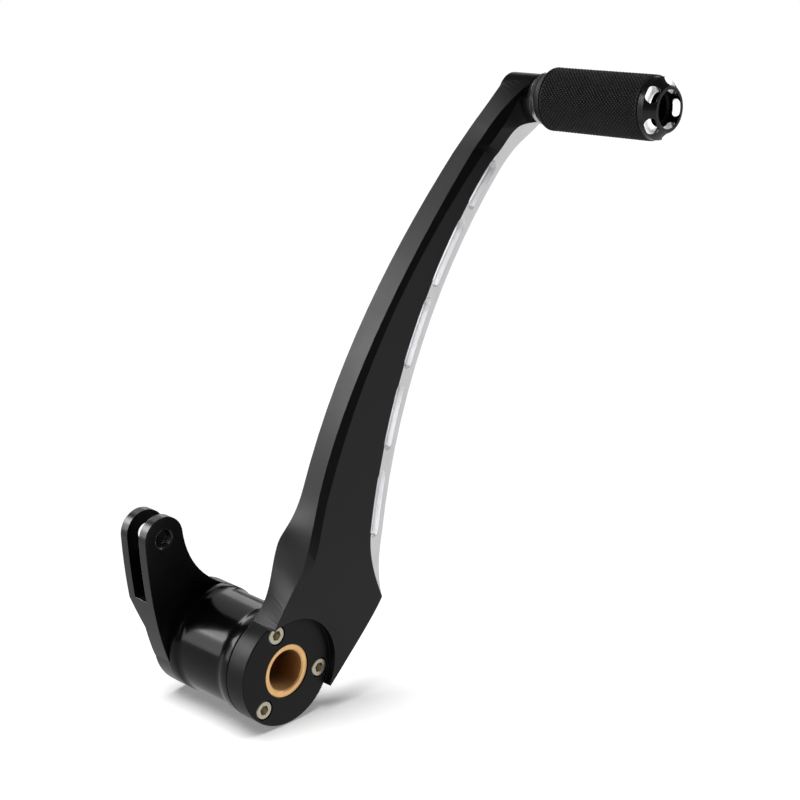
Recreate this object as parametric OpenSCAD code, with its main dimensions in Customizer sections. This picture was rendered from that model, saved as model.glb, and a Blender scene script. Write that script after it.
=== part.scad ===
// Foot-control lever: a curved billet arm bolted to a bushed pivot tube, with
// a forked rod lever at the inboard end and a turning knurled peg at the top.
//
// Frame: the origin is on the pivot axis, in the plane of the hub's outboard
// face. +Y points inboard along the pivot axis, +Z is up, and the arm leans
// towards +X. All sizes are in millimetres.

/* [Arm] */
// Distance of the peg axis ahead of the pivot axis
peg_x = 151.5; // [143:0.5:160]
// Height of the peg axis above the pivot axis
peg_z = 230.2; // [222:0.5:240]
// Steps along each stretch of the arm's edges
arm_steps = 14; // [8:1:16]
// Depth of the milled pockets along the front edge
pocket_depth = 4; // [2:0.5:5]
// Width of the milled pockets
pocket_w = 5.6; // [4:0.2:6]

/* [Hub and pivot] */
// Radius of the hub disc
hub_r = 24.4; // [24:0.1:25]
// Thickness of the hub disc, which is also where the arm's back face lies
hub_t = 10.7; // [10:0.1:12]
// How far the arm's face stands outboard of the hub's face
face_rise = 4.1; // [3:0.1:4.5]
// Radius of the pivot shaft that the bushings run on
shaft_r = 9; // [8.5:0.05:9.5]
// Running clearance on the radius, at the shaft and at the peg sleeve
run_gap = 0.04; // [0.02:0.01:0.08]
// Outside radius of both bushings
bush_r = 12; // [11.5:0.1:12.2]
// Length of each bushing
bush_l = 25; // [20:1:28]
// Outside radius of the pivot tube between its flanges
tube_r = 23.45; // [22.8:0.05:23.6]

/* [Rod lever] */
// Inboard end of the pivot tube, where the rod lever is bolted on
lever_y = 50.7; // [48:0.1:54]
// Thickness of each fork ear
ear_t = 4.5; // [4:0.1:5]
// Width of the slot between the ears
slot_w = 8.4; // [7:0.1:9]
// Radius of the rod pin's hole
pin_r = 4.05; // [3:0.05:4.1]

/* [Peg] */
// Radius of the peg sleeve over its knurl
sleeve_r = 13.9; // [13:0.1:14.5]
// Length of the peg sleeve
sleeve_l = 57; // [50:1:64]
// Number of windows around the end cap
windows = 5; // [4:1:6]
// Radius of the mouth of the end cap
cap_mouth_r = 8.2; // [7.5:0.1:8.6]

/* [Fasteners] */
// Angle of the first hub screw, from +X towards +Z
screw_angle = 106.2; // [100:0.1:112]
// Radius of the circle that the hub screws stand on
screw_circle_r = 18.9; // [18.5:0.1:19]
// Number of hub screws
screws = 3; // [3:1:4]

/* [Hidden] */
$fn = 96;

eps = 0.01;
// How far cutters run past the surfaces they open
clear = 20;
// Small chamfers on turned edges
edge_break = 0.4;
fine_break = 0.2;
black = "#1c1c1e";
silver = "#d9dadc";
steel = "#c9c2a8";
bronze = "#d9a066";
nylon = "#e6e0c8";

// M5 socket head cap screw
m5_r = 2.48;
m5_hole_r = 2.5;
m5_clear_r = 2.75;
m5_head_r = 4.25;
m5_head_l = 5;
m5_hex_af = 4;
// M8 socket head cap screw
m8_r = 3.98;
m8_hole_r = 4;
m8_clear_r = 4.3;
m8_head_r = 6.5;
m8_head_l = 8;
m8_hex_af = 6;

// Hub and pivot
head_gap = 0.3;
head_sink = 0.2;
hub_screw_l = 16;
clevis_screw_l = 20;
bush_sink = 0.7;
bush_chamfer = 0.6;
flange_r = 24.4;
flange_t = 4;
// The tube flares out to each flange along an arc
flare_l = 4.5;
flare_steps = 6;
tube_relief_r = 12.6;
relief_gap = 1;
dish_r = 31.2;
dish_depth = 0.5;

// Rod lever
lever_hub_t = 10.3;
lever_t = 2 * ear_t + slot_w;
pin_x = -23.9;
pin_z = 52.6;
pin_chamfer = 0.5;
ear_r = 10;
slot_floor = 35;
widen_z0 = 10;
widen_z1 = 23;
// Reach of the rod lever's cutters and profiles, which is past its far end
span = 80;
rear_screw_angle = screw_angle + 180 / screws;

// Peg, measured outboard (towards -Y) from the boss face
boss_rise = 5.7;
boss_r = 10.5;
base_washer_t = 1.5;
base_washer_r = 10;
neck_r = 8.5;
neck_l = 1.5;
flange_peg_r = 11.6;
flange_peg_t = 2;
side_gap = 0.3;
core_r = 9.7;
liner_t = 1.15;
liner_l = 14;
liner_inset = 0.5;
sleeve_lead = 3.6;
sleeve_lead_r = 11.5;
sleeve_chamfer = 0.5;
lock_washer_t = 2;
lock_split = 0.8;
lock_split_angle = 30;
bolt_l = 50;
bolt_reach = 11.7;
access_r = 7;
thread_r = 8.2;
thread_l = 10.4;
spigot_gap = 0.4;
cap_r = 13.4;
cap_rim_l = 2.6;
cap_l = 7;
cap_web = 0.6;
nose_r = 9.8;
window_l = 3.8;
window_h = 7.6;

core_y0 = -boss_rise - base_washer_t;
sleeve_y0 = core_y0 - neck_l - flange_peg_t - side_gap;
sleeve_y1 = sleeve_y0 - sleeve_l;
cap_y0 = sleeve_y1 - side_gap;
nose_y = cap_y0 - cap_l;
seat_y = bolt_reach - boss_rise - bolt_l;

// ---------- Shared shapes ----------

// A shaft along the pivot direction
module rod(r, y0, y1, fn = 96) {
    translate([0, min(y0, y1), 0])
        rotate([-90, 0, 0])
            cylinder(r = r, h = abs(y1 - y0), $fn = fn);
}

// A solid turned about the pivot direction from [radius, y] points
module turned(profile) {
    rotate([-90, 0, 0]) rotate_extrude() polygon(profile);
}

// An [x, z] outline given a thickness from y0 to y1
module plate(y0, y1) {
    translate([0, max(y0, y1), 0])
        rotate([90, 0, 0])
            linear_extrude(abs(y1 - y0)) children();
}

// Children repeated around the bolt circle
module around_hub(count, first) {
    for (i = [0 : count - 1])
        rotate([0, -first - i * 360 / count, 0])
            translate([screw_circle_r, 0, 0]) children();
}

// Share of a cap screw's head that its hexagon socket is deep, and its rim's chamfer
hex_depth = 0.6;
head_chamfer = 0.12;

// Socket head cap screw, its head's top at y = 0 and its point towards +Y
module cap_screw(r, length, head_r, head_l, hex_af) {
    chamfer = head_chamfer * head_r;
    difference() {
        turned([[0, 0], [head_r - chamfer, 0], [head_r, chamfer], [head_r, head_l],
                [r, head_l], [r, head_l + length - r / 3], [r * 2 / 3, head_l + length],
                [0, head_l + length]]);
        rod(hex_af / sqrt(3), -eps, head_l * hex_depth, 6);
    }
}

// ---------- Arm ----------

// Cubic Bezier curve through control points c at t = 0 to 1
function bezier(c, t) =
    pow(1 - t, 3) * c[0] + 3 * pow(1 - t, 2) * t * c[1]
    + 3 * (1 - t) * t * t * c[2] + pow(t, 3) * c[3];

// Points of an edge made of several curves; each curve starts where the last one ends
function edge(curves) = [
    for (k = [0 : len(curves) - 1])
        for (i = [(k == 0 ? 0 : 1) : arm_steps])
            lean(bezier(curves[k], i / arm_steps))
];

// The edges below are drawn for the peg axis at [151.5, 230.2]. A different
// peg_x or peg_z shifts each point in proportion to its height.
drawn_x = 151.5;
drawn_z = 230.2;
function lean(p) =
    let (u = max(0, p[2]) / drawn_z)
    [p[0] + (peg_x - drawn_x) * u, p[1], p[2] + (peg_z - drawn_z) * u];

// Levels of the arm's face: at the hub, along both sides of the sweep, and on the boss
face = -face_rise;
tilt_left = -face_rise + 0.4;
tilt_right = -face_rise - 0.4;
pad = -boss_rise;
function ramp(thirds) = face + (pad - face) * thirds / 3;

// Each edge runs from the hub to the boss as five curves: the root beside the
// hub, the knee, the long sweep, the ramp and the boss's flat pad. Points are [x, y, z].
spine_back = [
    [[-12, hub_t, 21.1], [2, hub_t, 29.8], [-0.3, hub_t, 40], [5, hub_t, 52.9]],
    [[5, hub_t, 52.9], [7.5, hub_t, 59], [14, hub_t, 59.5], [19.9, hub_t, 73.8]],
    [[19.9, hub_t, 73.8], [39.7, hub_t, 126.6], [72.7, hub_t, 168.7], [111.5, hub_t, 207.8]],
    [[111.5, hub_t, 207.8], [116.3, hub_t, 212.2], [121.1, hub_t, 216.7], [126, hub_t, 221]],
    [[126, hub_t, 221], [133.1, hub_t, 226.9], [140, hub_t, 233.1], [147.5, hub_t, 239.9]],
];
spine_front = [
    [[-9.3, face, 22.6], [-8.8, face, 26], [1.3, face, 39], [5.5, face, 43.6]],
    [[5.5, face, 43.6], [11.6, -3, 53.9], [16, -0.9, 65.1], [19.7, -0.9, 76.6]],
    [[19.7, -0.9, 76.6], [35.3, -1.1, 121.7], [75.1, -1.3, 172.2], [112.4, -1.2, 210.8]],
    [[112.4, -1.2, 210.8], [114.9, -1.8, 213.7], [117.4, -2.4, 216.6], [119.9, -2.9, 219.5]],
    [[119.9, -2.9, 219.5], [125.5, -3.2, 225], [132.1, -4.4, 230.8], [143.3, pad + 0.2, 237.2]],
];
face_left = [
    [[-8.7, face, 22.3], [-7, face, 27], [3, face, 38], [9.5, face, 43]],
    [[9.5, face, 43], [16, face, 48], [16.6, tilt_left, 61], [22.5, tilt_left, 75.5]],
    [[22.5, tilt_left, 75.5], [43.5, tilt_left, 130], [74.7, tilt_left, 170.1], [117, tilt_left, 209.8]],
    [[117, tilt_left, 209.8], [119.9, ramp(1), 212.7], [122.7, ramp(2), 215.7], [125.2, pad, 218.8]],
    [[125.2, pad, 218.8], [131.2, pad, 223.6], [135.3, pad, 231.6], [143.7, pad, 236.6]],
];
ridge = [
    [[21, face, -12.9], [31, face, -3.2], [48.5, face, 12.8], [52.5, face, 19.6]],
    [[52.5, face, 19.6], [48, face, 30.6], [43.4, tilt_right, 41.9], [46, tilt_right, 54.3]],
    [[46, tilt_right, 54.3], [55.4, tilt_right, 110.4], [79.6, tilt_right, 164], [122, tilt_right, 206.3]],
    [[122, tilt_right, 206.3], [127.8, ramp(1), 209.9], [131.2, ramp(2), 216], [136.3, pad, 218.4]],
    [[136.3, pad, 218.4], [140.5, pad, 220], [146, pad, 219.6], [151.5, pad, 219.7]],
];
front_edge = [
    [[21.4, -3.6, -13.2], [31.5, -3.6, -3.4], [49, -3.6, 12.5], [53, -3.6, 19.2]],
    [[53, -3.6, 19.2], [50.8, -3, 28.5], [52.8, -1.4, 38], [55.3, -1.2, 47.5]],
    [[55.3, -1.2, 47.5], [64.2, -1.2, 107], [90.5, -1.2, 158.5], [128.8, -1.4, 199.3]],
    [[128.8, -1.4, 199.3], [132.3, -1.5, 203], [135.9, -1.7, 206.5], [140, -2, 209.5]],
    [[140, -2, 209.5], [144.5, -2.5, 212.8], [147.3, -3.5, 214.3], [152.5, pad + 0.4, 219.5]],
];

// Where the polished flat ends across the front strip, and how far it has dropped by there
flat_share = 0.72;
flat_drop = 0.55;
// How far the front wall draws in towards the back face
wall_draft = 0.6;

function strip_mid(a, b) = [
    a[0] + (b[0] - a[0]) * flat_share,
    a[1] + (b[1] - a[1]) * flat_drop,
    a[2] + (b[2] - a[2]) * flat_share
];
function drafted(p) = [p[0] - wall_draft, hub_t, p[2] + wall_draft / 3];

// The arm between hub and boss: a skin through one seven-sided section per step
module arm_blade() {
    a = edge(spine_back);
    b = edge(spine_front);
    c = edge(face_left);
    d = edge(ridge);
    e = edge(front_edge);
    sides = 7;
    last = len(a) - 1;
    points = [
        for (k = [0 : last])
            each [a[k], b[k], c[k], d[k], strip_mid(d[k], e[k]), e[k], drafted(e[k])]
    ];
    skin = [
        for (k = [0 : last - 1])
            for (i = [0 : sides - 1])
                let (j = (i + 1) % sides, lo = k * sides, hi = lo + sides)
                    each [[hi + i, hi + j, lo + j], [hi + i, lo + j, lo + i]]
    ];
    foot = [for (i = [1 : sides - 2]) [0, i, i + 1]];
    tip = [for (i = [1 : sides - 2]) [last * sides, last * sides + i + 1, last * sides + i]];
    polyhedron(points = points, faces = concat(skin, foot, tip), convexity = 8);
}

// How far the pockets cut back over the ridge into the face
pocket_inset = 0.3;
// Heights at which the pockets start and end along the ridge
pocket_heights = [[52, 75.5], [90, 113], [124.5, 148.5], [158, 180.5], [189.5, 204]];
sweep = 2;

// Share of the sweep's curve at which the ridge reaches height z
function ridge_share(z, low = -0.1, high = 1.1, n = 16) =
    n == 0 ? (low + high) / 2 :
    let (mid = (low + high) / 2)
    bezier(ridge[sweep], mid)[2] < z ? ridge_share(z, mid, high, n - 1) : ridge_share(z, low, mid, n - 1);

// The ridge at share t, moved by d towards the front edge, in [x, z]
function ridge_at(t) = lean(bezier(ridge[sweep], t));
function ridge_heading(t) =
    let (step = 0.001, a = ridge_at(t - step), b = ridge_at(t + step))
    atan2(b[2] - a[2], b[0] - a[0]);
function beside_ridge(t, d) =
    [ridge_at(t)[0], ridge_at(t)[2]] + d * [sin(ridge_heading(t)), -cos(ridge_heading(t))];

// Outline of one pocket: both sides follow the ridge, and both ends are half circles
module pocket_outline(heights) {
    steps = 10;
    end_steps = 8;
    r = (pocket_w + pocket_inset) / 2;
    t0 = ridge_share(heights[0]);
    t1 = ridge_share(heights[1]);
    function end_arc(t, first) = [
        for (i = [1 : end_steps - 1])
            let (turn = first - i * 180 / end_steps)
            beside_ridge(t, r - pocket_inset) + r * [cos(turn), sin(turn)]
    ];
    polygon(concat(
        [for (i = [0 : steps]) beside_ridge(t0 + (t1 - t0) * i / steps, -pocket_inset)],
        end_arc(t1, ridge_heading(t1) + 90),
        [for (i = [steps : -1 : 0]) beside_ridge(t0 + (t1 - t0) * i / steps, pocket_w)],
        end_arc(t0, ridge_heading(t0) - 90)
    ));
}

module lever_arm() {
    color(black)
    difference() {
        union() {
            arm_blade();
            turned([[0, 0], [hub_r - edge_break, 0], [hub_r, edge_break],
                    [hub_r, hub_t - edge_break], [hub_r - edge_break, hub_t], [0, hub_t]]);
            translate([peg_x, 0, peg_z]) rod(boss_r, -boss_rise, hub_t);
        }
        // the seat that drops the hub's face below the arm's face, and the shallow dish around it
        rod(hub_r, -clear, 0);
        turned([[0, -clear], [dish_r, -clear], [dish_r, -face_rise],
                [hub_r, -face_rise + dish_depth], [0, -face_rise + dish_depth]]);
        rod(bush_r, -eps, hub_t + eps);
        around_hub(screws, screw_angle) {
            rod(m5_clear_r, -eps, hub_t + eps);
            rod(m5_head_r + head_gap, -eps, m5_head_l + head_sink);
        }
        translate([peg_x, 0, peg_z]) rod(m8_hole_r, -boss_rise - eps, hub_t + eps);
        for (heights = pocket_heights)
            plate(-clear, face + pocket_depth) pocket_outline(heights);
    }
}

// ---------- Pivot ----------

// Profile points of the flare, from the flange down to the tube. towards is the direction along Y.
function flare(y, towards) =
    let (rise = flange_r - tube_r, bow = (flare_l * flare_l + rise * rise) / (2 * rise))
    [for (i = [0 : flare_steps])
        let (left = flare_l * (1 - i / flare_steps))
        [tube_r + bow - sqrt(bow * bow - left * left), y + towards * (flare_l - left)]];

function reversed(list) = [for (i = [len(list) - 1 : -1 : 0]) list[i]];

module pivot_tube() {
    color(black)
    difference() {
        turned(concat(
            [[0, hub_t], [flange_r - edge_break, hub_t], [flange_r, hub_t + edge_break]],
            flare(hub_t + flange_t, 1),
            reversed(flare(lever_y - flange_t, -1)),
            [[flange_r, lever_y - edge_break], [flange_r - edge_break, lever_y], [0, lever_y]]));
        rod(bush_r, hub_t - eps, lever_y + eps);
        rod(tube_relief_r, bush_l + bush_sink + relief_gap, lever_y + lever_hub_t - bush_l - relief_gap);
        around_hub(screws, screw_angle) {
            rod(m5_hole_r, hub_t - eps, hub_t + hub_screw_l);
        }
        around_hub(screws, rear_screw_angle) {
            rod(m5_hole_r, lever_y - clevis_screw_l, lever_y + eps);
        }
    }
}

module bushing(y0) {
    c = bush_chamfer;
    inner = shaft_r + run_gap;
    color(bronze)
    turned([[inner + c, y0], [bush_r - c / 2, y0], [bush_r, y0 + c / 2],
            [bush_r, y0 + bush_l - c / 2], [bush_r - c / 2, y0 + bush_l],
            [inner + c, y0 + bush_l], [inner, y0 + bush_l - c], [inner, y0 + c]]);
}

module outer_bushing() {
    bushing(bush_sink);
}

module inner_bushing() {
    bushing(lever_y + lever_hub_t - bush_l);
}

module hub_screws() {
    color(steel)
    around_hub(screws, screw_angle)
        translate([0, head_sink, 0])
            cap_screw(m5_r, hub_screw_l, m5_head_r, m5_head_l, m5_hex_af);
}

// ---------- Rod lever ----------

// Side outline of the fork, from the hub's centre up to the rod pin
module fork_outline() {
    curve_back = [[-24.2, -4.5], [-29, 8], [-32.6, 26], [-33.9, 52]];
    curve_front = [[-14, 53.5], [-12.2, 40], [-5.5, 30.5], [7.2, 23.3]];
    steps = 12;
    translate([pin_x, pin_z]) circle(r = ear_r);
    polygon(concat([for (i = [0 : steps]) bezier(curve_back, i / steps)],
                   [for (i = [0 : steps]) bezier(curve_front, i / steps)],
                   [[0, 0]]));
}

// Profile of the fork seen along X: the hub's thickness below, widening to both ears above
module lever_profile() {
    y0 = lever_y;
    y1 = lever_y + lever_hub_t;
    y2 = lever_y + lever_t;
    polygon([[y0, 0], [y1, 0], [y1, widen_z0], [y2, widen_z1], [y2, span], [y0, span]]);
}

module clevis_lever() {
    color(black)
    difference() {
        union() {
            rod(hub_r, lever_y, lever_y + lever_hub_t);
            intersection() {
                plate(lever_y, lever_y + lever_t) fork_outline();
                rotate([90, 0, 90]) translate([0, 0, -span]) linear_extrude(2 * span) lever_profile();
            }
            plate(lever_y, lever_y + lever_hub_t) fork_outline();
        }
        // the slot for the rod end
        rotate([0, atan2(pin_x, pin_z), 0])
            translate([-span, lever_y + ear_t, slot_floor]) cube([2 * span, slot_w, span]);
        translate([pin_x, 0, pin_z]) {
            rod(pin_r, lever_y - 1, lever_y + lever_t + 1);
            turned([[0, lever_y - 1], [pin_r + pin_chamfer + 1, lever_y - 1],
                    [pin_r, lever_y + pin_chamfer], [0, lever_y + pin_chamfer]]);
        }
        rod(bush_r, lever_y - eps, lever_y + lever_t);
        around_hub(screws, rear_screw_angle) {
            rod(m5_clear_r, lever_y - eps, lever_y + lever_t);
            rod(m5_head_r + head_gap, lever_y + lever_hub_t - m5_head_l - head_sink, lever_y + lever_t);
        }
    }
}

module clevis_screws() {
    color(steel)
    around_hub(screws, rear_screw_angle)
        translate([0, lever_y + lever_hub_t - head_sink, 0])
            mirror([0, 1, 0])
                cap_screw(m5_r, clevis_screw_l, m5_head_r, m5_head_l, m5_hex_af);
}

// ---------- Peg ----------

module at_peg() {
    translate([peg_x, 0, peg_z]) children();
}

module peg_base_washer() {
    color(silver)
    at_peg() turned([[m8_clear_r, -boss_rise], [base_washer_r, -boss_rise],
                     [base_washer_r, core_y0], [m8_clear_r, core_y0]]);
}

module peg_core() {
    y_neck = core_y0 - neck_l;
    y_flange = y_neck - flange_peg_t;
    color(silver)
    at_peg()
    difference() {
        turned([[0, core_y0], [neck_r, core_y0], [neck_r, y_neck],
                [flange_peg_r, y_neck], [flange_peg_r, y_flange],
                [core_r, y_flange], [core_r, cap_y0], [0, cap_y0]]);
        rod(m8_clear_r, cap_y0, core_y0 + eps);
        rod(access_r, cap_y0 - eps, seat_y);
        rod(thread_r, cap_y0 - eps, cap_y0 + thread_l);
    }
}

module peg_bolt() {
    color(steel)
    at_peg()
        translate([0, seat_y - lock_washer_t - m8_head_l, 0])
            cap_screw(m8_r, bolt_l, m8_head_r, m8_head_l, m8_hex_af);
}

module peg_lock_washer() {
    color(silver)
    at_peg()
    difference() {
        rod(m8_head_r, seat_y - lock_washer_t, seat_y);
        rod(m8_clear_r, seat_y - lock_washer_t - eps, seat_y + eps);
        rotate([0, lock_split_angle, 0])
            translate([0, seat_y - lock_washer_t - eps, -lock_split / 2])
                cube([clear, lock_washer_t + 2 * eps, lock_split]);
    }
}

module peg_sleeve() {
    bore_r = core_r + run_gap + liner_t;
    y0 = sleeve_y0;
    y1 = sleeve_y1;
    color(black)
    at_peg() turned([[bore_r, y0], [sleeve_lead_r, y0], [sleeve_r, y0 - sleeve_lead],
                     [sleeve_r, y1 + sleeve_chamfer], [sleeve_r - sleeve_chamfer, y1], [bore_r, y1]]);
}

module peg_liners() {
    inner = core_r + run_gap;
    color(nylon)
    at_peg()
    for (y = [sleeve_y0 - liner_inset, sleeve_y1 + liner_l + liner_inset])
        turned([[inner, y], [inner + liner_t, y], [inner + liner_t, y - liner_l], [inner, y - liner_l]]);
}

// Obround cutter for one window, standing along +X, halfway along the cap's cone
module window_cutter() {
    r = window_l / 2;
    straight = window_h / 2 - r;
    translate([0, (cap_y0 - cap_rim_l + nose_y + edge_break) / 2, 0]) {
        for (side = [-1, 1])
            translate([0, 0, side * straight]) rotate([0, 90, 0]) cylinder(r = r, h = clear, $fn = 48);
        translate([0, -r, -straight]) cube([clear, 2 * r, 2 * straight]);
    }
}

module peg_end_cap() {
    rim_y = cap_y0 - cap_rim_l;
    spigot_y = cap_y0 + thread_l - spigot_gap;
    color(black)
    at_peg()
    difference() {
        turned([[0, spigot_y], [thread_r, spigot_y], [thread_r, cap_y0],
                [cap_r - fine_break, cap_y0], [cap_r, cap_y0 - fine_break], [cap_r - fine_break, rim_y],
                [nose_r, nose_y + edge_break], [nose_r - edge_break, nose_y], [0, nose_y]]);
        rod(access_r, nose_y - eps, cap_y0 + thread_l);
        rod(cap_mouth_r, nose_y - eps, cap_y0 - cap_web);
        for (i = [0 : windows - 1])
            rotate([0, -i * 360 / windows, 0]) window_cutter();
    }
}

lever_arm();
pivot_tube();
clevis_lever();
outer_bushing();
inner_bushing();
hub_screws();
clevis_screws();
peg_bolt();
peg_lock_washer();
peg_base_washer();
peg_core();
peg_sleeve();
peg_liners();
peg_end_cap();
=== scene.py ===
"""Looks of the foot-control lever: materials, the knurled sleeve, soft studio light and the camera."""
import math

import bmesh
import bpy
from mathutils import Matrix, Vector


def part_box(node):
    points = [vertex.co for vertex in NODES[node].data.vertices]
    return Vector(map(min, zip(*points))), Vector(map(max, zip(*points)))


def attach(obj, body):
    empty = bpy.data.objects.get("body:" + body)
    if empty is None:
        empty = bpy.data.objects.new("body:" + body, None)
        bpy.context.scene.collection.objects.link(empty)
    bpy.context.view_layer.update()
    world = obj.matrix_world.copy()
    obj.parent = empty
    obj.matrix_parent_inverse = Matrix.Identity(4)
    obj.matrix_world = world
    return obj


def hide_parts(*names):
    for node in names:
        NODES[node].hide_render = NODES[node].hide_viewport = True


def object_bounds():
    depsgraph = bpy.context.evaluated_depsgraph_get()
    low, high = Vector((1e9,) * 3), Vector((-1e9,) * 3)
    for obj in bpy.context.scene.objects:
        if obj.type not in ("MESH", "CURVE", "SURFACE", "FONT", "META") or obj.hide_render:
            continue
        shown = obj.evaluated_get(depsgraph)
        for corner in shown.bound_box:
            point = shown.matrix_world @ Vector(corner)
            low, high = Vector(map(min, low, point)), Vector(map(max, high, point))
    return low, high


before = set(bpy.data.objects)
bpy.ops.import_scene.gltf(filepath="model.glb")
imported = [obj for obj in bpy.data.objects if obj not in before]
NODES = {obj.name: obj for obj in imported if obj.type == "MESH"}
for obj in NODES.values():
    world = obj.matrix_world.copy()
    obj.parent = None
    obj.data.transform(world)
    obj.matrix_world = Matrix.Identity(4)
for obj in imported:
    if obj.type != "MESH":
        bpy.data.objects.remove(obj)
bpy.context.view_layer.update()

MM = 0.001


# ---------- Where things are, from the frame ----------

def box_mid(node):
    """Middle of a CAD node's box, in metres."""
    lo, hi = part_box(node)
    return (Vector(lo) + Vector(hi)) / 2


def box_size(node):
    """Size of a CAD node's box, in metres."""
    lo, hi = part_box(node)
    return Vector(hi) - Vector(lo)


def from_axis(point, axis):
    """Distance of a point from a line along Y through axis."""
    return math.hypot(point.x - axis.x, point.z - axis.z)


PEG = box_mid("peg_sleeve")
PIVOT = box_mid("pivot_tube")
HUB_R = box_size("pivot_tube").x / 2
NOSE_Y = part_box("peg_end_cap")[0][1]


# ---------- Shader helpers ----------

def shade(colour, factor):
    """The colour made paler or darker by factor."""
    return tuple(min(1, channel * factor) for channel in colour)


class Shader:
    """A material's node tree with short calls for the nodes used here."""

    def __init__(self, name):
        self.material = bpy.data.materials.new(name)
        self.material.use_nodes = True
        self.tree = self.material.node_tree
        self.bsdf = self.tree.nodes["Principled BSDF"]
        self.coords = self.node("ShaderNodeTexCoord").outputs["Object"]

    def node(self, kind, **settings):
        made = self.tree.nodes.new(kind)
        for key, value in settings.items():
            setattr(made, key, value)
        return made

    def link(self, source, target):
        self.tree.links.new(source, target)

    def set(self, **values):
        """Principled inputs by name, with _ for a space: a number, a colour or an output socket."""
        for key, value in values.items():
            socket = self.bsdf.inputs[key.replace("_", " ")]
            if isinstance(value, bpy.types.NodeSocket):
                self.link(value, socket)
            elif isinstance(value, tuple):
                socket.default_value = (*value, 1)
            else:
                socket.default_value = value

    def noise(self, size_mm, detail, stretch=(1, 1, 1)):
        """Noise with features about size_mm across, stretched along the axes by stretch."""
        mapping = self.node("ShaderNodeMapping")
        mapping.inputs["Scale"].default_value = [1 / (size_mm * MM * s) for s in stretch]
        self.link(self.coords, mapping.inputs["Vector"])
        noise = self.node("ShaderNodeTexNoise")
        noise.inputs["Scale"].default_value = 1.0
        noise.inputs["Detail"].default_value = detail
        self.link(mapping.outputs["Vector"], noise.inputs["Vector"])
        return noise.outputs["Fac"]

    def remap(self, value, low, high, from_low=0.3, from_high=0.7):
        """The value moved from the range from_low to from_high to the range low to high."""
        mapped = self.node("ShaderNodeMapRange")
        mapped.inputs["From Min"].default_value = from_low
        mapped.inputs["From Max"].default_value = from_high
        mapped.inputs["To Min"].default_value = low
        mapped.inputs["To Max"].default_value = high
        self.link(value, mapped.inputs["Value"])
        return mapped.outputs["Result"]

    def blend(self, fac, low, high):
        """Colour low where fac is 0 and high where it is 1."""
        mix = self.node("ShaderNodeMix", data_type="RGBA")
        self.link(fac, mix.inputs["Factor"])
        for socket, value in ((mix.inputs["A"], low), (mix.inputs["B"], high)):
            if isinstance(value, bpy.types.NodeSocket):
                self.link(value, socket)
            else:
                socket.default_value = (*value, 1)
        return mix.outputs["Result"]

    def bump(self, height, depth_mm, strength, normal=None):
        """A normal with the relief of height, over the normal given."""
        bump = self.node("ShaderNodeBump")
        bump.inputs["Strength"].default_value = strength
        bump.inputs["Distance"].default_value = depth_mm * MM
        self.link(height, bump.inputs["Height"])
        if normal is not None:
            self.link(normal, bump.inputs["Normal"])
        return bump.outputs["Normal"]

    def edges(self, radius_mm):
        """(rounded normal, 0 to 1 mask of the edges within radius_mm)."""
        bevel = self.node("ShaderNodeBevel", samples=6)
        bevel.inputs["Radius"].default_value = radius_mm * MM
        flat = self.node("ShaderNodeNewGeometry").outputs["Normal"]
        dot = self.node("ShaderNodeVectorMath", operation="DOT_PRODUCT")
        self.link(bevel.outputs["Normal"], dot.inputs[0])
        self.link(flat, dot.inputs[1])
        mask = self.remap(dot.outputs["Value"], 1, 0, from_low=0.85, from_high=0.999)
        return bevel.outputs["Normal"], mask


# ---------- Materials ----------

def anodised(name, colour, edge_highlight, rough, specular, grain_mm=0.18, grain_depth_mm=0.003):
    """Black anodised aluminium with a fine blasted grain, and edges a little paler as a painted highlight.
    """
    s = Shader(name)
    rounded, edge = s.edges(radius_mm=0.35)
    cloud = s.noise(size_mm=14, detail=3)
    grain = s.noise(size_mm=grain_mm, detail=3)
    tone = s.blend(s.remap(cloud, 0, 1), shade(colour, 0.85), shade(colour, 1.15))
    # Painted highlight: a paler colour blended in along the edges
    s.set(
        Base_Color=s.blend(edge, tone, edge_highlight),
        Roughness=s.remap(cloud, rough - 0.03, rough + 0.03),
        Specular_IOR_Level=specular,
        Normal=s.bump(grain, grain_depth_mm, strength=0.6, normal=rounded),
    )
    return s.material


def machined(name, colour, rough, stretch, line_mm=0.35, line_depth_mm=0.004, metallic=1.0):
    """Bare machined metal with fine tool lines stretched along one axis, and edges made paler as a painted
    highlight.
    """
    s = Shader(name)
    rounded, edge = s.edges(radius_mm=0.2)
    lines = s.noise(line_mm, detail=2, stretch=stretch)
    cloud = s.noise(size_mm=9, detail=3)
    tone = s.blend(s.remap(cloud, 0, 1), shade(colour, 0.93), colour)
    s.set(
        # Painted highlight: edges paler than the flats
        Base_Color=s.blend(edge, tone, shade(colour, 1.1)),
        Roughness=s.remap(lines, rough - 0.05, rough + 0.07),
        Metallic=metallic,
        Normal=s.bump(lines, line_depth_mm, strength=0.5, normal=rounded),
    )
    return s.material


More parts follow.
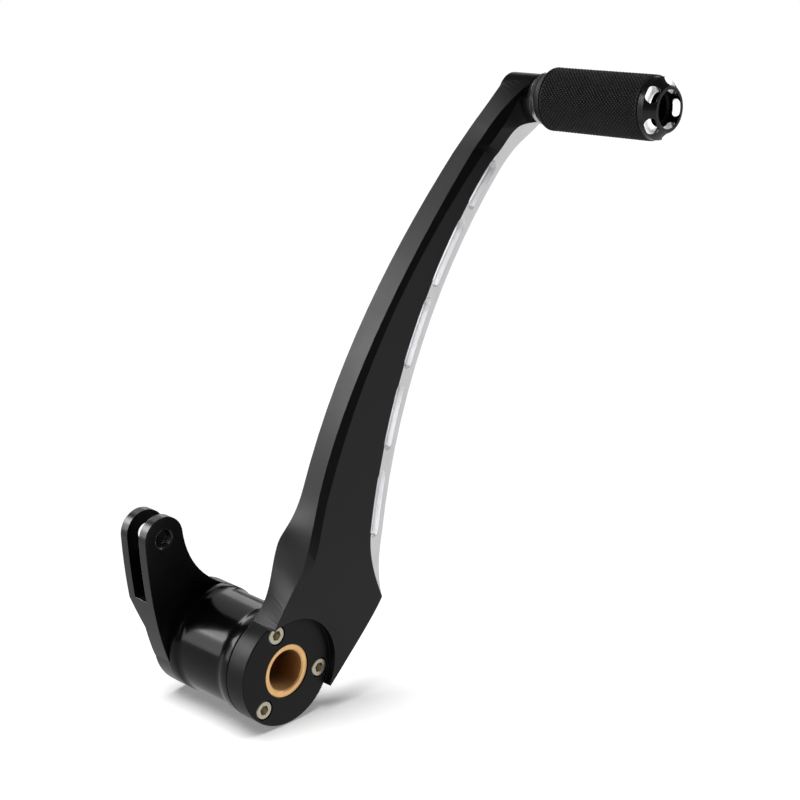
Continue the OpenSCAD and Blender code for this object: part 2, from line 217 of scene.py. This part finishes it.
def sintered_bronze(name):
    """Oil-filled sintered bronze: slightly porous, paler at its edges as a painted highlight, and darker
    down the bore as painted shade.
    """
    s = Shader(name)
    rounded, edge = s.edges(radius_mm=0.25)
    pores = s.noise(size_mm=0.25, detail=2)
    cloud = s.noise(size_mm=5, detail=3)
    tone = s.blend(s.remap(cloud, 0, 1), (0.86, 0.5, 0.21), (0.95, 0.59, 0.26))
    speckled = s.blend(s.remap(pores, 0, 1, from_low=0.34, from_high=0.4), (0.5, 0.27, 0.1), tone)
    # Painted highlight: the edges paler
    edge_highlighted = s.blend(edge, speckled, (0.95, 0.62, 0.33))
    # Painted shade: darker deeper down the bore
    place = s.node("ShaderNodeSeparateXYZ")
    s.link(s.coords, place.inputs[0])
    bore_shade = s.remap(place.outputs["Y"], 0, 1, from_low=1.2 * MM, from_high=14 * MM)
    s.set(
        Base_Color=s.blend(bore_shade, edge_highlighted, (0.3, 0.14, 0.05)),
        Roughness=s.remap(pores, 0.42, 0.34),
        Metallic=0.75,
        Normal=s.bump(pores, depth_mm=0.01, strength=0.5, normal=rounded),
    )
    return s.material


def knurled_black(name):
    """Matt black coating over the knurl."""
    s = Shader(name)
    grain = s.noise(size_mm=0.12, detail=3)
    cloud = s.noise(size_mm=8, detail=3)
    s.set(
        Base_Color=s.blend(s.remap(cloud, 0, 1), (0.009, 0.009, 0.0095), (0.014, 0.014, 0.0145)),
        Roughness=s.remap(grain, 0.6, 0.7),
        Specular_IOR_Level=0.34,
        Normal=s.bump(grain, depth_mm=0.01, strength=0.5),
    )
    return s.material


def nylon(name):
    """Cloudy natural nylon."""
    s = Shader(name)
    cloud = s.noise(size_mm=3, detail=3)
    s.set(
        Base_Color=s.blend(s.remap(cloud, 0, 1), (0.62, 0.58, 0.48), (0.7, 0.66, 0.57)),
        Roughness=0.45,
        Normal=s.bump(s.noise(size_mm=0.3, detail=2), depth_mm=0.01, strength=0.4),
    )
    return s.material


# Each anodised finish: its colour, then the paler colour of its painted edge highlight
BLACK_SATIN = anodised("black_satin", (0.0042, 0.0042, 0.0044), (0.045, 0.045, 0.046), rough=0.42,
                       specular=0.3)
# Painted shade: a darker copy of black satin, for the turned faces round the hub and boss and for the
# arm's band
BLACK_SHADED = anodised("black_shaded", (0.003, 0.003, 0.0031), (0.03, 0.03, 0.031), rough=0.4,
                     specular=0.2)
BLACK_SEMI = anodised("black_semi", (0.0025, 0.0025, 0.0027), (0.05, 0.05, 0.052), rough=0.26,
                      specular=0.5, grain_mm=0.3, grain_depth_mm=0.001)
BLACK_GLOSS = anodised("black_gloss", (0.0025, 0.0025, 0.0027), (0.02, 0.02, 0.021), rough=0.17,
                       specular=0.17, grain_mm=0.6, grain_depth_mm=0.0006)
BRIGHT_CUT = machined("bright_cut", (0.95, 0.95, 0.96), rough=0.34, stretch=(1, 12, 1))
BRIGHT_POCKET = machined("bright_pocket", (0.96, 0.96, 0.97), rough=0.5, stretch=(1, 1, 6),
                         line_mm=0.5, line_depth_mm=0.006, metallic=0.25)
# Painted shade: a darker grey metal for the pockets' end walls
POCKET_END_SHADE = machined("pocket_end", (0.55, 0.55, 0.56), rough=0.4, stretch=(1, 1, 6),
                      line_mm=0.5, line_depth_mm=0.006, metallic=0.7)
BRIGHT_TURNED = machined("bright_turned", (0.72, 0.72, 0.73), rough=0.3, stretch=(8, 1, 8))
STAINLESS = machined("stainless", (0.72, 0.66, 0.53), rough=0.3, stretch=(1, 4, 1), line_mm=0.5)
ZINC = machined("zinc_plate", (0.6, 0.6, 0.62), rough=0.35, stretch=(1, 1, 1), line_mm=0.8)
BRONZE = sintered_bronze("sintered_bronze")
KNURL_BLACK = knurled_black("knurl_black")
NYLON = nylon("nylon")


# ---------- CAD nodes: shading and rounded edges ----------

def shade_by_angle(limit_deg):
    """Geometry nodes that join the CAD faces and keep only edges over a limit angle sharp."""
    tree = bpy.data.node_groups.new("shade_by_angle", "GeometryNodeTree")
    tree.interface.new_socket("Geometry", in_out="INPUT", socket_type="NodeSocketGeometry")
    limit = tree.interface.new_socket("Angle", in_out="INPUT", socket_type="NodeSocketFloat")
    limit.default_value = math.radians(limit_deg)
    tree.interface.new_socket("Geometry", in_out="OUTPUT", socket_type="NodeSocketGeometry")
    add = tree.nodes.new
    group_in = add("NodeGroupInput")
    group_out = add("NodeGroupOutput")
    merge = add("GeometryNodeMergeByDistance")
    smooth = add("GeometryNodeSetShadeSmooth")
    sharpen = add("GeometryNodeSetShadeSmooth")
    angle = add("GeometryNodeInputMeshEdgeAngle")
    compare = add("FunctionNodeCompare")
    merge.inputs["Distance"].default_value = 0.002 * MM
    smooth.domain = "FACE"
    sharpen.domain = "EDGE"
    sharpen.inputs["Shade Smooth"].default_value = False
    compare.data_type = "FLOAT"
    compare.operation = "GREATER_THAN"
    link = tree.links.new
    link(group_in.outputs["Geometry"], merge.inputs["Geometry"])
    link(merge.outputs["Geometry"], smooth.inputs["Geometry"])
    link(smooth.outputs["Geometry"], sharpen.inputs["Geometry"])
    link(angle.outputs["Unsigned Angle"], compare.inputs["A"])
    link(group_in.outputs["Angle"], compare.inputs["B"])
    link(compare.outputs["Result"], sharpen.inputs["Selection"])
    link(sharpen.outputs["Geometry"], group_out.inputs["Geometry"])
    return tree


SHADE_BY_ANGLE = shade_by_angle(32)


def dress(node, material):
    """Gives a CAD node its material, and smooth shading between its sharp edges."""
    obj = NODES[node]
    mesh = obj.data
    mesh.materials.clear()
    mesh.materials.append(material)
    for name in ("custom_normal", "sharp_edge", "sharp_face"):
        if name in mesh.attributes:
            mesh.attributes.remove(mesh.attributes[name])
    shading = obj.modifiers.new("shade", "NODES")
    shading.node_group = SHADE_BY_ANGLE


def ride_in_place_of(obj, node, body):
    """Puts a new object on a body, in the place of a CAD node."""
    bpy.context.scene.collection.objects.link(obj)
    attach(obj, body)
    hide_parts(node)


# ---------- The arm ----------

BOSS_R = 10.5 * MM
POCKET_FLOOR_Y = -0.1 * MM
POCKET_DEPTH = 5 * MM
# All pockets lie above this height, and farther than this from the peg's axis
POCKETS_FROM_Z = 48 * MM
POCKETS_FROM_PEG = 25 * MM
# The bright strip up the arm's front edge, from this height to this far under the peg's axis
STRIP_FROM_Z = 19.7 * MM
STRIP_UNDER_PEG = 5 * MM
# Limits on the parts of a unit normal, by which the arm's surfaces are told apart
LEVEL = 0.9995
UPRIGHT = 0.02
BACK_FACING = 0.97
FACE_FACING = -0.982
POCKET_END_RISE = 0.75
SPINE_TO_BAND = -0.5
FRONT_TO_STRIP = -0.3
SPINE_TO_FRONT = 0.3


def arm_patch(centre, normal):
    """Which surface of the arm a face belongs to. Surfaces meet at crisp edges."""
    from_pivot = from_axis(centre, PIVOT)
    from_peg = from_axis(centre, PEG)
    on_floor = abs(normal.y) > LEVEL and abs(centre.y - POCKET_FLOOR_Y) < 0.02 * MM
    if on_floor and from_pivot > HUB_R + MM:
        return "pocket_floor"
    if normal.y > BACK_FACING:
        return "back"
    if from_pivot < HUB_R + 0.3 * MM or from_peg < BOSS_R + 0.1 * MM:
        return "turned"
    by_pockets = centre.z > POCKETS_FROM_Z and from_peg > POCKETS_FROM_PEG
    in_pocket = POCKET_FLOOR_Y - POCKET_DEPTH < centre.y < POCKET_FLOOR_Y
    if abs(normal.y) < UPRIGHT and in_pocket and by_pockets:
        return "pocket_end" if abs(normal.z) > POCKET_END_RISE else "pocket_wall"
    if normal.y < FACE_FACING:
        return "face"
    if normal.x < 0:
        return "spine" if normal.y > SPINE_TO_BAND else "band"
    if normal.y > FRONT_TO_STRIP:
        return "spine" if normal.x < SPINE_TO_FRONT else "front_wall"
    return "strip" if STRIP_FROM_Z < centre.z < PEG.z - STRIP_UNDER_PEG else "front_wall"


ARM_MATERIALS = (BLACK_SATIN, BRIGHT_CUT, BRIGHT_POCKET, BLACK_SHADED, POCKET_END_SHADE)
PATCH_MATERIAL = {
    "strip": BRIGHT_CUT,
    "pocket_floor": BRIGHT_POCKET,
    "pocket_wall": BRIGHT_POCKET,
    "pocket_end": POCKET_END_SHADE,
    # The turned faces and the band take the painted-shade satin
    "turned": BLACK_SHADED,
    "band": BLACK_SHADED,
}
# Edges within a surface that turn by more than this many degrees are crisp too
CRISP_OVER = {"strip": 9, "face": 6, "turned": 30}
CRISP_OVER_ELSEWHERE = 35


def dressed_arm():
    """The arm's own CAD surfaces, joined: crisp edges between surfaces, and smooth shading within each."""
    bm = bmesh.new()
    bm.from_mesh(NODES["lever_arm"].data)
    bmesh.ops.remove_doubles(bm, verts=bm.verts, dist=0.003 * MM)
    bmesh.ops.dissolve_degenerate(bm, edges=bm.edges, dist=0.003 * MM)
    patch = {}
    for face in bm.faces:
        patch[face] = arm_patch(face.calc_center_median(), face.normal)
        face.smooth = True
        face.material_index = ARM_MATERIALS.index(PATCH_MATERIAL.get(patch[face], BLACK_SATIN))
    for edge in bm.edges:
        edge.smooth = True
        if len(edge.link_faces) == 2:
            one, two = (patch[face] for face in edge.link_faces)
            limit = math.radians(CRISP_OVER.get(one, CRISP_OVER_ELSEWHERE))
            edge.smooth = one == two and edge.calc_face_angle() < limit
    mesh = bpy.data.meshes.new("arm_surfaces")
    bm.to_mesh(mesh)
    bm.free()
    if "custom_normal" in mesh.attributes:
        mesh.attributes.remove(mesh.attributes["custom_normal"])
    for material in ARM_MATERIALS:
        mesh.materials.append(material)
    arm = bpy.data.objects.new("arm_surfaces", mesh)
    weighted = arm.modifiers.new("area_weighted", "WEIGHTED_NORMAL")
    weighted.keep_sharp = True
    ride_in_place_of(arm, "lever_arm", "lever")


dressed_arm()


# ---------- The other CAD nodes ----------

NODE_MATERIAL = {
    "pivot_tube": BLACK_GLOSS,
    "clevis_lever": BLACK_SEMI,
    "outer_bushing": BRONZE,
    "inner_bushing": BRONZE,
    "hub_screws": STAINLESS,
    "clevis_screws": STAINLESS,
    "peg_bolt": ZINC,
    "peg_lock_washer": ZINC,
    "peg_base_washer": BRIGHT_TURNED,
    "peg_core": BRIGHT_TURNED,
    "peg_liners": NYLON,
    "peg_end_cap": BLACK_SEMI,
}
for node, material in NODE_MATERIAL.items():
    dress(node, material)

# The windows' walls lie between these radii and between these depths behind the cap's nose
WINDOW_R = (8.2 * MM, 13.35 * MM)
WINDOW_DEPTH = (0.42 * MM, 4.38 * MM)


def is_window_wall(centre, normal):
    """Whether a face of the end cap is a wall of one of its windows."""
    radial = Vector((centre.x - PEG.x, 0, centre.z - PEG.z))
    across = abs(radial.normalized().dot(normal)) < 0.35
    in_radius = WINDOW_R[0] < radial.length < WINDOW_R[1]
    in_depth = WINDOW_DEPTH[0] < centre.y - NOSE_Y < WINDOW_DEPTH[1]
    return in_radius and in_depth and across


def bright_windows():
    """Gives the walls of the end cap's windows a bright cut metal."""
    mesh = NODES["peg_end_cap"].data
    mesh.materials.append(BRIGHT_POCKET)
    for face in mesh.polygons:
        if is_window_wall(face.center, face.normal):
            face.material_index = len(mesh.materials) - 1


bright_windows()


# ---------- The knurled sleeve ----------

DIAMONDS_AROUND = 52
KNURL_DEPTH = 0.52 * MM
# A diamond's flat top as a share of its base
CREST = 0.34
# The sleeve's inboard end: a cone, and a plain lip between the cone and the knurl
CONE_L = 3.6 * MM
CONE_END_R = 11.5 * MM
LIP_L = 1.2 * MM
PLAIN_END_L = 0.7 * MM


class PegTurning:
    """Vertices and faces of a piece round the peg's axis. A full turn is a number of columns."""

    def __init__(self, columns):
        self.columns = columns
        self.verts = []
        self.faces = []

    def point(self, radius, column, y):
        turn = 2 * math.pi * column / self.columns
        self.verts.append((PEG.x + radius * math.cos(turn), y, PEG.z + radius * math.sin(turn)))
        return len(self.verts) - 1

    def join(self, ring, other):
        for k in range(self.columns):
            j = (k + 1) % self.columns
            self.faces.append([ring[k], ring[j], other[j], other[k]])

    def turned(self, profile):
        """Turns a profile of (radius, y) points and returns the ring of its last point."""
        rings = [[self.point(radius, k, y) for k in range(self.columns)] for radius, y in profile]
        for ring, other in zip(rings, rings[1:]):
            self.join(ring, other)
        return rings[-1]

    def knurl(self, outer, groove, start, step, rows):
        """Raised diamonds with flat tops, in an even number of rows from start towards -Y."""
        corner = {}
        for row in range(rows + 1):
            for column in range(row % 2, self.columns, 2):
                corner[row, column] = self.point(groove, column, start - row * step)
        sides = [(-1, 0), (0, 1), (1, 0), (0, -1)]
        for row in range(1, rows):
            for column in range((row + 1) % 2, self.columns, 2):
                base = [corner[row + r, (column + c) % self.columns] for r, c in sides]
                top = [self.point(outer, column + c * CREST, start - (row + r * CREST) * step)
                       for r, c in sides]
                self.faces.append(top)
                for i in range(4):
                    j = (i + 1) % 4
                    self.faces.append([base[i], base[j], top[j], top[i]])
        for row, next_row in ((0, 1), (rows, rows - 1)):
            for column in range(1, self.columns, 2):
                before, after = corner[row, column - 1], corner[row, (column + 1) % self.columns]
                self.faces.append([before, corner[next_row, column], after])


def joined_mesh(name, verts, faces, material):
    """A mesh with its doubled vertices joined and its normals outwards."""
    mesh = bpy.data.meshes.new(name)
    mesh.from_pydata(verts, [], faces)
    mesh.validate()
    mesh.materials.append(material)
    bm = bmesh.new()
    bm.from_mesh(mesh)
    bmesh.ops.remove_doubles(bm, verts=bm.verts, dist=0.002 * MM)
    bmesh.ops.recalc_face_normals(bm, faces=bm.faces)
    bm.to_mesh(mesh)
    bm.free()
    return mesh


def knurled_sleeve():
    """A sleeve with a coned inboard end and a band of raised diamonds."""
    lo, hi = (Vector(corner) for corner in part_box("peg_sleeve"))
    outer = (hi.x - lo.x) / 2
    groove = outer - KNURL_DEPTH
    bore = box_size("peg_liners").x / 2
    lip = hi.y - CONE_L
    start = lip - LIP_L
    end = lo.y + PLAIN_END_L
    diamond_half = math.pi * outer / DIAMONDS_AROUND
    rows = int((start - end) / diamond_half) // 2 * 2
    piece = PegTurning(2 * DIAMONDS_AROUND)
    piece.knurl(outer, groove, start, (start - end) / rows, rows)
    inboard = piece.turned([
        (groove, start),
        (groove, start + 0.12 * MM),
        (outer - 0.05 * MM, start + 0.3 * MM),
        (outer, start + 0.45 * MM),
        (outer, lip - 0.25 * MM),
        (outer - 0.06 * MM, lip),
        (CONE_END_R + 0.15 * MM, hi.y - 0.12 * MM),
        (CONE_END_R, hi.y),
        (bore, hi.y),
    ])
    outboard = piece.turned([
        (groove, end),
        (outer - 0.1 * MM, lo.y + 0.4 * MM),
        (outer - 0.5 * MM, lo.y),
        (bore, lo.y),
    ])
    piece.join(inboard, outboard)
    mesh = joined_mesh("sleeve_knurl", piece.verts, piece.faces, KNURL_BLACK)
    ride_in_place_of(bpy.data.objects.new("sleeve_knurl", mesh), "peg_sleeve", "peg_roller")


knurled_sleeve()


# ---------- Studio ----------

def softbox(name, towards, size, radiance, aim, only, distance=3.0):
    """A rectangular light of even radiance, in the direction towards from aim, that lights one group."""
    data = bpy.data.lights.new(name, "AREA")
    data.shape = "RECTANGLE"
    data.size, data.size_y = size
    data.energy = radiance * math.pi * size[0] * size[1]
    light = bpy.data.objects.new(name, data)
    bpy.context.scene.collection.objects.link(light)
    direction = Vector(towards).normalized()
    light.location = aim + direction * distance
    light.rotation_mode = "QUATERNION"
    light.rotation_quaternion = direction.to_track_quat("Z", "Y")
    light.visible_camera = False
    light.light_linking.receiver_collection = only
    return light


def group(name, objects):
    """A collection of objects that a light can be limited to."""
    made = bpy.data.collections.new(name)
    for obj in objects:
        made.objects.link(obj)
    return made


def studio(aim, ground):
    """Lights stand far off, so that every part of the lever mirrors them at the same angle."""
    pieces = [o for o in bpy.context.scene.objects if o.type == "MESH" and o is not ground]
    bright = (NODES["peg_core"], NODES["peg_base_washer"])
    floor_only = group("lit_floor", [ground])
    lever = group("lit_lever", pieces)
    black = group("lit_black", [o for o in pieces if o not in bright])
    pivot = group("lit_pivot", [NODES["pivot_tube"], NODES["clevis_lever"]])
    softbox("left_back", (-0.53, 0.675, 0.5), (1.5, 1.1), 11.2, aim, black)
    softbox("left_back_low", (-0.68, 0.675, 0.2), (1.3, 1.3), 3.8, aim, black)
    softbox("right_back", (0.68, 0.675, 0.27), (1.1, 1.0), 1.9, aim, lever)
    softbox("top_back", (0.34, 0.68, 0.65), (2.2, 2.2), 0.9, aim, pivot)
    softbox("left_fill", (-0.94, -0.06, 0.34), (1.2, 1.3), 3.5, aim, black)
    softbox("right_fill", (0.95, -0.1, 0.35), (1.2, 1.2), 2.5, aim, lever)
    softbox("behind", (0.12, 0.95, 0.3), (1.2, 1.2), 3.5, aim, lever)
    front = softbox("front", (0.5, -0.8, 0.33), (1.5, 1.5), 22, aim, lever)
    front.visible_glossy = False
    softbox("overhead", (-0.2, 0.12, 1.0), (1.1, 1.1), 7, aim, floor_only, distance=1.2)


def white_world(room_strength):
    """White to the camera, and a dim grey room to everything else."""
    world = bpy.data.worlds.new("studio_white")
    bpy.context.scene.world = world
    world.use_nodes = True
    tree = world.node_tree
    tree.nodes.clear()
    out = tree.nodes.new("ShaderNodeOutputWorld")
    mix = tree.nodes.new("ShaderNodeMixShader")
    path = tree.nodes.new("ShaderNodeLightPath")
    seen = tree.nodes.new("ShaderNodeBackground")
    room = tree.nodes.new("ShaderNodeBackground")
    for background in (seen, room):
        background.inputs["Color"].default_value = (1, 1, 1, 1)
    room.inputs["Strength"].default_value = room_strength
    link = tree.links.new
    link(path.outputs["Is Camera Ray"], mix.inputs["Fac"])
    link(room.outputs["Background"], mix.inputs[1])
    link(seen.outputs["Background"], mix.inputs[2])
    link(mix.outputs["Shader"], out.inputs["Surface"])


def pale_floor():
    """Shows a soft shadow near the hub and plain white farther off. Reflections see it an even white."""
    s = Shader("pale_floor")
    s.set(Base_Color=(0.9, 0.9, 0.9), Roughness=0.9, Specular_IOR_Level=0.0)
    s.set(Emission_Color=(1, 1, 1), Emission_Strength=0.25)

    def glow(strength):
        emission = s.node("ShaderNodeEmission")
        emission.inputs["Strength"].default_value = strength
        return emission.outputs["Emission"]

    def mixed(fac, low, high):
        mix = s.node("ShaderNodeMixShader")
        s.link(fac, mix.inputs["Fac"])
        s.link(low, mix.inputs[1])
        s.link(high, mix.inputs[2])
        return mix.outputs["Shader"]

    from_origin = s.node("ShaderNodeVectorMath", operation="LENGTH")
    s.link(s.node("ShaderNodeNewGeometry").outputs["Position"], from_origin.inputs[0])
    far = s.remap(from_origin.outputs["Value"], 0, 1, from_low=0.07, from_high=0.2)
    seen = mixed(far, s.bsdf.outputs["BSDF"], glow(1.05))
    camera_ray = s.node("ShaderNodeLightPath").outputs["Is Camera Ray"]
    s.link(mixed(camera_ray, glow(0.62), seen), s.tree.nodes["Material Output"].inputs["Surface"])
    return s.material


def floor(z, half=3.0):
    """A square floor of pale material at height z."""
    mesh = bpy.data.meshes.new("floor")
    corners = [(-half, -half, z), (half, -half, z), (half, half, z), (-half, half, z)]
    mesh.from_pydata(corners, [], [(0, 1, 2, 3)])
    mesh.materials.append(pale_floor())
    obj = bpy.data.objects.new("floor", mesh)
    bpy.context.scene.collection.objects.link(obj)
    return obj


def camera(middle):
    """The viewpoint: from the left of the outboard face, a little above."""
    azimuth = math.radians(-135.22)
    elevation = math.radians(16.43)
    distance = 679.5 * MM
    aim = middle + Vector((-0.75, 0.75, -2.75)) * MM
    data = bpy.data.cameras.new("camera")
    data.lens, data.sensor_width = 70.74, 36
    data.clip_start, data.clip_end = 0.01, 50
    obj = bpy.data.objects.new("camera", data)
    bpy.context.scene.collection.objects.link(obj)
    level = math.cos(elevation)
    away = Vector((level * math.cos(azimuth), level * math.sin(azimuth), math.sin(elevation)))
    obj.location = aim + away * distance
    obj.rotation_euler = away.to_track_quat("Z", "Y").to_euler()
    bpy.context.scene.camera = obj


lo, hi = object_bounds()
middle = (lo + hi) / 2
white_world(room_strength=0.06)
studio(middle, floor(lo.z - 0.2 * MM))
camera(middle)
bpy.context.scene.view_settings.view_transform = "Standard"
